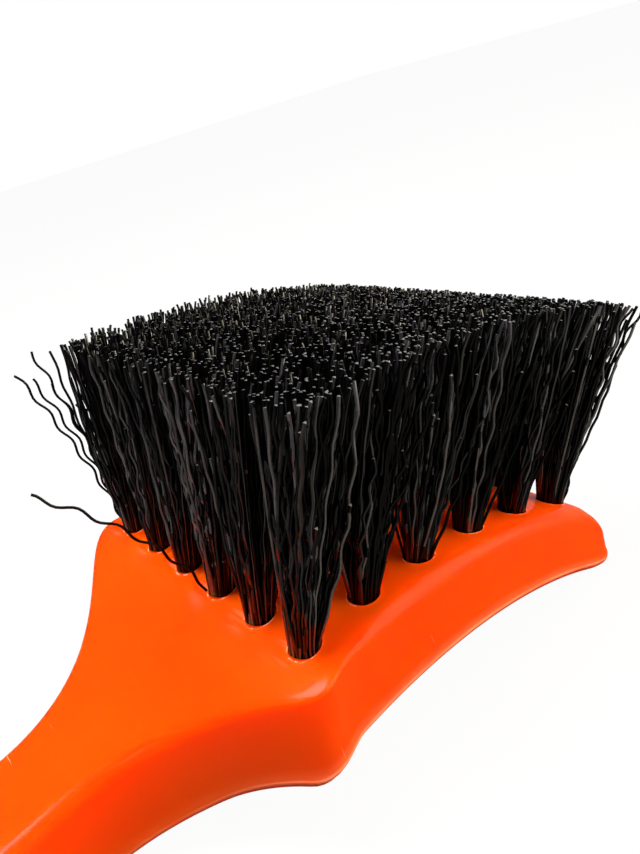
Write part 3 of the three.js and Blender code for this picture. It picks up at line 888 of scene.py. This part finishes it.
class BristlePlan:
    """Points that the bristle tree reads: the feet of the tufts and the guides of stray strands."""

    layers = {"guide": 1, "phase": 1, "lean": 3, "tip_centre": 3, "tip_reach": 3, "flare": 3}
    guide_steps = 56
    guide_lean = (0.5, -0.6, 0.4)

    def __init__(self):
        self.points, self.edges = [], []
        self.values = {name: [] for name in self.layers}

    def add(self, point, **values):
        self.points.append(point)
        for name, size in self.layers.items():
            value = values.get(name, (0, 0, 0) if size == 3 else 0)
            self.values[name].extend(value if size == 3 else (value,))

    def add_guide(self, foot, tip, lift, phase):
        """A strand that rises from its hole and bends over to its tip."""
        up = Vector((0, 0, 1))
        ends = (foot - up * 4 * MM, foot + up * lift * 0.5, foot + (tip - foot) * 0.45 + up * lift, tip)
        for k in range(self.guide_steps + 1):
            t = k / self.guide_steps
            weights = ((1 - t) ** 3, 3 * t * (1 - t) ** 2, 3 * t * t * (1 - t), t ** 3)
            if k:
                self.edges.append((len(self.points) - 1, len(self.points)))
            self.add(sum((end * weight for end, weight in zip(ends, weights)), Vector()),
                     guide=1, phase=phase, lean=self.guide_lean)

    def mesh(self, name):
        mesh = bpy.data.meshes.new(name)
        mesh.from_pydata(self.points, self.edges, [])
        for layer_name, size in self.layers.items():
            kind, field = ("FLOAT_VECTOR", "vector") if size == 3 else ("FLOAT", "value")
            layer = mesh.attributes.new(layer_name, kind, "POINT")
            layer.data.foreach_set(field, self.values[layer_name])
        return mesh


def add_object(name, data):
    """A new object in the scene."""
    thing = bpy.data.objects.new(name, data)
    bpy.context.scene.collection.objects.link(thing)
    return thing


def grow(name, plan, tree, values):
    """Runs a node tree on a plan mesh and returns the result as a plain object."""
    holder = add_object(name + "_plan", plan)
    modifier = holder.modifiers.new("Grow", "NODES")
    modifier.node_group = tree
    items = tree.interface.items_tree
    identifiers = {item.name: item.identifier for item in items if item.in_out == "INPUT"}
    for socket, value in values.items():
        modifier[identifiers[socket]] = value
    graph = bpy.context.evaluated_depsgraph_get()
    mesh = bpy.data.meshes.new_from_object(holder.evaluated_get(graph), depsgraph=graph)
    bpy.data.objects.remove(holder)
    bpy.data.meshes.remove(plan)
    mesh.name = name
    mesh.transform(HEAD_MATRIX)
    return add_object(name, mesh)


# Finishes

def fresh_tree(owner):
    """A builder on the emptied node tree of a material or world."""
    owner.use_nodes = True
    owner.node_tree.nodes.clear()
    return NodeBuilder(owner.node_tree)


def new_material(name):
    """A material with its builder, its shader's inputs and the object's own coordinates."""
    material = bpy.data.materials.new(name)
    b = fresh_tree(material)
    shader = b.node("ShaderNodeBsdfPrincipled")
    b.node("ShaderNodeOutputMaterial", {"Surface": Wire(b, shader.outputs[0])})
    return material, b, shader.inputs, b.out("ShaderNodeTexCoord", output="Object")


def painted(b, name):
    """A value painted on the mesh."""
    return b.out("ShaderNodeAttribute", output="Fac", attribute_name=name)


def noise(b, place, scale, detail=2.0, stretch=None, turn=(0, 0, 0)):
    """Noise on the object's coordinates, stretched and turned if wanted."""
    if stretch:
        place = b.out("ShaderNodeMapping", {"Vector": place, "Rotation": turn, "Scale": stretch})
    return b.out("ShaderNodeTexNoise", {"Vector": place, "Scale": scale, "Detail": detail})


def speck_group():
    """Dust and nicks: small scattered spots, as a mask."""
    tree = bpy.data.node_groups.get("Specks")
    if tree:
        return tree
    tree = bpy.data.node_groups.new("Specks", "ShaderNodeTree")
    add_sockets(tree, ("Vector", "Vector", None), ("Scale", "Float", 300.0), ("Share", "Float", 0.1),
                ("Size", "Float", 0.1))
    tree.interface.new_socket("Mask", in_out="OUTPUT", socket_type="NodeSocketFloat")
    b = NodeBuilder(tree)
    given = b.wires(b.node("NodeGroupInput"))
    cells = b.wires(b.node("ShaderNodeTexVoronoi", {
        "Vector": given["Vector"], "Scale": given["Scale"]}))
    pick, size, _ = b.split(cells["Color"])
    spot = cells["Distance"] < given["Size"] * size
    b.node("NodeGroupOutput", {"Mask": (pick < given["Share"]) * spot})
    return tree


def specks(b, place, scale, share, size):
    inputs = {"Vector": place, "Scale": scale, "Share": share, "Size": size}
    return b.out("ShaderNodeGroup", inputs, "Mask", node_tree=speck_group())


def plastic_material(settings):
    """Semi-gloss moulded plastic: cloudy colour, a pale rubbed parting line that also carries painted
    light on the lower edge, burred holes, nicks and scratches.
    """
    material, b, shader, place = new_material("orange_plastic")
    pale, main = tuple(settings.pale_marks_and_painted_light), tuple(settings.plastic)
    deep = (main[0] * 0.97, main[1] * 0.86, main[2])
    colour = b.blend(b.ramp(noise(b, place, 38), 0.3, 0.7), deep, main)
    near_hole, parting, wiped = (painted(b, name) for name in ("near_hole", "parting", "smear"))
    streak = b.ramp(noise(b, place, 100, 3, (1.2, 8, 3), (0, 0, math.radians(-24))), 0.47, 0.7)
    smear = streak * wiped * 0.22
    broken = b.ramp(noise(b, place, 900), 0.45, 0.65)
    burr = b.ramp(near_hole, 0.9, 0.99) * broken * 0.8
    # Paler along the parting line: rubbed plastic, and painted light where the lower edge faces the
    # floor
    rub = parting * (noise(b, place, 160, 3) * 0.5 + 0.15)
    nick = specks(b, place, 230, 0.09, 0.07) * 0.9
    line = b.ramp(noise(b, place, 70, 4, (1, 22, 1), (0.3, 0.2, math.radians(35))), 0.715, 0.735)
    worn = line * (b.ramp(noise(b, place, 60), 0.5, 0.6) * 0.7)
    marks_and_painted_light = b.most(smear, burr, rub, nick, worn)
    b.put(shader["Base Color"], b.blend(marks_and_painted_light, colour, pale))
    b.put(shader["Roughness"], marks_and_painted_light * 0.2 + (noise(b, place, 420, 3) * 0.1 + 0.17))
    b.put(shader["Normal"], b.out("ShaderNodeBump", {
        "Strength": 0.03, "Distance": 0.08 * MM, "Height": noise(b, place, 1500)}))
    shader["Specular IOR Level"].default_value = 0.07

    # Light spreads inside the plastic, but not where a pale edge is too thin for it
    thin = b.most(b.ramp(near_hole, 0.5, 0.9), parting, worn)
    b.put(shader["Subsurface Weight"], thin * -SPREAD_WEIGHT + SPREAD_WEIGHT)
    shader["Subsurface Radius"].default_value = (1.0, 0.04, 0.02)
    shader["Subsurface Scale"].default_value = 12 * MM
    return material


def filament_material(settings):
    """Glossy black filament, here and there glossier and painted lighter grey as a highlight, with
    dusty grey cut ends.
    """
    material, b, shader, place = new_material("black_filament")
    main, cut = tuple(settings.colour), tuple(settings.cut_colour)
    painted_highlight_grey = tuple(60 * c for c in main)
    tone, end = painted(b, "tone"), painted(b, "cut_end")
    # Some strands are painted lighter grey: a painted highlight that stands in for the bright lines on
    # glossy strands
    colour = b.blend(b.ramp(tone, 0.78, 1) * noise(b, place, 500), main, painted_highlight_grey)
    dust = specks(b, place, 900, 0.05, 0.3) * 0.5
    ends = end * (noise(b, place, 2200, 1) * 0.9 + 0.3)
    b.put(shader["Base Color"], b.blend(b.most(ends, dust), colour, cut))
    b.put(shader["Roughness"], end * 0.3 + (tone * -0.12 + 0.22))
    b.put(shader["Coat Weight"], b.ramp(tone, 0.55, 0.95))
    shader["Coat Roughness"].default_value = 0.12
    shader["Coat IOR"].default_value = 1.8
    shader["Specular IOR Level"].default_value = 0.13
    return material


def wire_material():
    """Bright drawn brass wire."""
    material, b, shader, place = new_material("anchor_brass")
    tone = b.ramp(noise(b, place, 900, 2, (1, 8, 8)), 0.3, 0.7)
    b.put(shader["Base Color"], b.blend(tone, (0.36, 0.21, 0.06), (0.56, 0.37, 0.13)))
    b.put(shader["Roughness"], tone * 0.15 + 0.25)
    shader["Metallic"].default_value = 1.0
    return material


# Operators

def dress(piece, slot, *nodes):
    """A finished piece rides on the brush and stands for its CAD nodes."""
    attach(piece, "root")
    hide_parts(*nodes)


class BRUSH_OT_handle(Operator):
    """Make the moulded handle and head, with its drilled holes"""

    bl_idname = "brush.handle"
    bl_label = "Handle"

    def execute(self, context):
        settings = context.scene.brush_handle
        mesh = HandleMesh(settings).to_mesh("brush_handle")
        mesh.materials.append(plastic_material(settings))
        mesh.shade_smooth()
        mesh.set_sharp_from_angle(angle=math.radians(50))
        dress(add_object("brush_handle", mesh), "orange_plastic", "handle")
        return {"FINISHED"}


class BRUSH_OT_bristles(Operator):
    """Grow the four groups of crimped tufts"""

    bl_idname = "brush.bristles"
    bl_label = "Bristles"

    def execute(self, context):
        settings, handle = context.scene.brush_bristles, context.scene.brush_handle
        material, tree = filament_material(settings), bristle_tree()
        for number, (quarter, (columns, rows)) in enumerate(QUARTERS.items()):
            plan = self.lay_out(settings, handle, quarter, columns, rows)
            piece = grow(f"filaments_{quarter}", plan.mesh("bristle_plan"), tree, {
                "Filaments": settings.per_tuft,
                "Hole Radius": handle.hole_diameter / 2 - settings.diameter * 0.75,
                "Trim Length": settings.trim_length, "Trim Radius": settings.trim_radius,
                "Crimp Depth": settings.crimp_depth, "Bend": settings.bend,
                "Radius": settings.diameter / 2, "Seed": settings.seed + 100 * number,
                "Material": material})
            dress(piece, "black_bristle", f"bristles_{quarter}")
        return {"FINISHED"}

    @staticmethod
    def lay_out(settings, handle, quarter, columns, rows):
        """The plan of one group: where each tuft stands and how far its tips reach."""
        plan = BristlePlan()
        pitch = Vector((COLUMN_PITCH + settings.spread_across, ROW_PITCH + settings.spread_along, 0))
        for column, row in product(columns, rows):
            foot = tuft_foot(handle.crown_radius, column, row)
            across, along = column - (COLUMNS - 1) / 2, row - (ROWS - 1) / 2
            rim_x, rim_y = (round(k / 2.5) if abs(k) > 2 else 0 for k in (across, along))
            lean = settings.toeward_lean + along * settings.spread_along
            corner = HEEL_CORNER_SPLAY if rim_x < 0 and rim_y < 0 else 0
            plan.add(foot, tip_reach=pitch / 2, flare=(rim_x * FLARE, rim_y * FLARE, 0),
                     tip_centre=(foot.x + across * settings.spread_across - corner,
                                 foot.y + lean - corner, 0))
        for group, column, row, tip, lift in STRAYS:
            if group == quarter:
                foot = tuft_foot(handle.crown_radius, column, row)
                target = Vector(tip) * MM
                way = Vector((target.x - foot.x, 0.4 * (target.y - foot.y), 0)).normalized()
                out = way * handle.hole_diameter * STRAY_FOOT
                plan.add_guide(foot + out, target, lift * MM, tip[0])
        return plan


class BRUSH_OT_anchors(Operator):
    """Give the wire anchors in the holes their brass"""

    bl_idname = "brush.anchors"
    bl_label = "Anchors"

    def execute(self, context):
        material = wire_material()
        for name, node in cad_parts.items():
            if name.startswith("anchor_"):
                for place in node.material_slots:
                    place.material = material
        return {"FINISHED"}


class BRUSH_OT_stage(Operator):
    """Set the camera, the lights and the white floor"""

    bl_idname = "brush.stage"
    bl_label = "Stage"

    def execute(self, context):
        scene = context.scene
        scene.view_settings.view_transform = "Standard"
        self.place_camera(scene, scene.brush_stage)
        self.light(scene, scene.brush_stage)
        self.lay_floor()
        return {"FINISHED"}

    @staticmethod
    def place_camera(scene, stage):
        a, e, r = stage.azimuth, stage.elevation, stage.roll
        back = Vector((math.sin(a) * math.cos(e), -math.cos(a) * math.cos(e), math.sin(e)))
        level = Vector((math.cos(a), math.sin(a), 0))
        upright = back.cross(level)
        right = level * math.cos(r) + upright * math.sin(r)
        up = upright * math.cos(r) - level * math.sin(r)
        turn = Matrix((right, up, back)).transposed().to_4x4()
        place = Matrix.Translation(Vector(stage.target) + back * stage.distance)
        data = bpy.data.cameras.new("camera")
        data.sensor_width = SENSOR_WIDTH
        data.lens = stage.lens
        data.clip_start = 5 * MM
        scene.camera = add_object("camera", data)
        scene.camera.matrix_world = HEAD_MATRIX @ place @ turn

    @staticmethod
    def light(scene, stage):
        scene.world = bpy.data.worlds.new("studio")
        b = fresh_tree(scene.world)
        even, backdrop = (b.out("ShaderNodeBackground", {"Color": (1, 1, 1, 1), "Strength": strength})
                          for strength in (stage.sky, 1.0))
        b.node("ShaderNodeOutputWorld", {"Surface": b.mix(seen_directly(b), even, backdrop)})
        white, warm = (1, 1, 1), (1, 0.88, 0.55)
        lamps = (("overhead", 0.3, white, (-0.12, 0.06, 0.63)),
                 ("fill", 0.6, warm, (0.42, 0.46, 0.34)),
                 ("spark", 0.05, white, (0.34, 0.32, 0.34)),
                 ("edge", 0.08, warm, (0.06, -0.36, 0.3)))
        for name, size, colour, place in lamps:
            lamp = bpy.data.lights.new(name, "AREA")
            lamp.shape, lamp.size, lamp.color = "SQUARE", size, colour
            lamp.energy = getattr(stage, name)
            holder = add_object(name, lamp)
            holder.location = place
            aim = LAMP_TARGET - Vector(place)
            holder.rotation_euler = aim.to_track_quat("-Z", "Y").to_euler()

    @staticmethod
    def lay_floor():
        corners = ((-1, -1), (1, -1), (1, 1), (-1, 1))
        mesh = bpy.data.meshes.new("floor")
        mesh.from_pydata([(FLOOR_REACH * x, FLOOR_REACH * y, 0) for x, y in corners], [], [range(4)])
        material = bpy.data.materials.new("white_floor")
        b = fresh_tree(material)
        paper = b.out("ShaderNodeBsdfDiffuse", {"Color": FLOOR_PAPER})
        glow = b.out("ShaderNodeEmission", {"Color": (1, 1, 1, 1), "Strength": FLOOR_GLOW})
        share = seen_directly(b) * GLOW_SHARE
        b.node("ShaderNodeOutputMaterial", {"Surface": b.mix(share, paper, glow)})
        mesh.materials.append(material)
        floor = add_object("floor", mesh)


def seen_directly(b):
    """1 where the camera or glass looks at the backdrop; reflections see it whitest towards the toe."""
    path = b.wires(b.node("ShaderNodeLightPath"))
    place = b.out("ShaderNodeNewGeometry", output="Position")
    to_toe = b.vector("DOT_PRODUCT", place, TOEWARD)
    bright = b.ramp(to_toe, *WHITE_RANGE) * 0.95 + 0.03
    mirrored = path["Is Glossy Ray"] * bright + path["Is Transmission Ray"]
    return b.math("ADD", path["Is Camera Ray"], mirrored, clamped=True)


class BRUSH_PT_panel(Panel):
    """Lists the pieces of the brush and their settings"""

    bl_label = "Tire Brush"
    bl_idname = "BRUSH_PT_panel"
    bl_space_type = "VIEW_3D"
    bl_region_type = "UI"
    bl_category = "Brush"

    def draw(self, context):
        for settings, operators in SECTIONS:
            box = self.layout.box()
            for operator in operators:
                box.operator(operator.bl_idname)
            group = getattr(context.scene, settings)
            for name in group.bl_rna.properties.keys():
                if name not in ("rna_type", "name"):
                    box.prop(group, name)


SETTINGS = {
    "brush_handle": BrushHandleSettings,
    "brush_bristles": BrushBristleSettings,
    "brush_stage": BrushStageSettings,
}
SECTIONS = (
    ("brush_handle", (BRUSH_OT_handle,)),
    ("brush_bristles", (BRUSH_OT_bristles, BRUSH_OT_anchors)),
    ("brush_stage", (BRUSH_OT_stage,)),
)
CLASSES = (*SETTINGS.values(), BRUSH_OT_handle, BRUSH_OT_bristles, BRUSH_OT_anchors, BRUSH_OT_stage,
           BRUSH_PT_panel)


def register():
    for cls in CLASSES:
        bpy.utils.register_class(cls)
    for name, group in SETTINGS.items():
        setattr(bpy.types.Scene, name, PointerProperty(type=group))


def unregister():
    for name in SETTINGS:
        delattr(bpy.types.Scene, name)
    for cls in reversed(CLASSES):
        bpy.utils.unregister_class(cls)


def main():
    register()
    bpy.ops.brush.stage()
    bpy.ops.brush.handle()
    bpy.ops.brush.bristles()
    bpy.ops.brush.anchors()
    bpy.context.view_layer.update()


if __name__ == "__main__":
    main()
